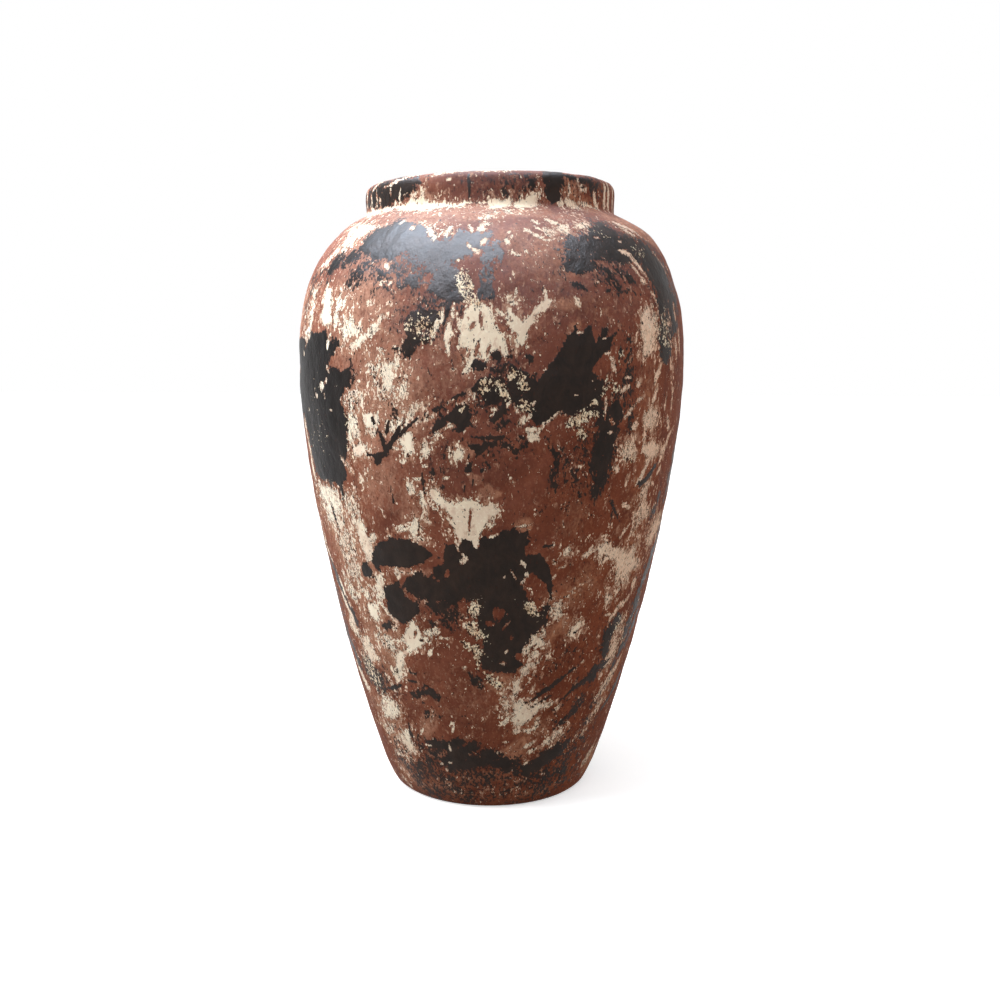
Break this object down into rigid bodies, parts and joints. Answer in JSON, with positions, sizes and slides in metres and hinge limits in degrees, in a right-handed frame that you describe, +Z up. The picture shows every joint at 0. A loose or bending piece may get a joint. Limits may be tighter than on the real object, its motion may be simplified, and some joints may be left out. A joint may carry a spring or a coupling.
{
  "type": "terracotta jar",
  "caption": "Tall hand-thrown terracotta jar with high shoulders, a short straight neck, an open mouth and a distressed black, brown and cream paint finish.",
  "frame": {"origin": "centre of the flat base that the jar stands on", "axes": "+Z up along the jar's axis, from the base to the mouth; the pictured side faces -Y"},
  "size_m": [0.384, 0.384, 0.601],
  "materials": {
    "terracotta": "matte, unglazed, fine-grained red clay",
    "slip": "matte, fired slip, paler than the clay",
    "paint": "satin, brushed paint in brown, black and cream over a terracotta ground"
  },
  "bodies": {
    "root": {"floor_slab": "terracotta", "floor_coil": "terracotta", "lower_wall": "terracotta", "middle_wall": "terracotta", "belly_wall": "terracotta", "shoulder_wall": "terracotta", "neck_collar": "terracotta", "slip_floor": "slip", "slip_waist": "slip", "slip_belly": "slip", "slip_shoulder": "slip", "slip_neck": "slip", "painted_coat": "paint"}
  },
  "joints": []
}
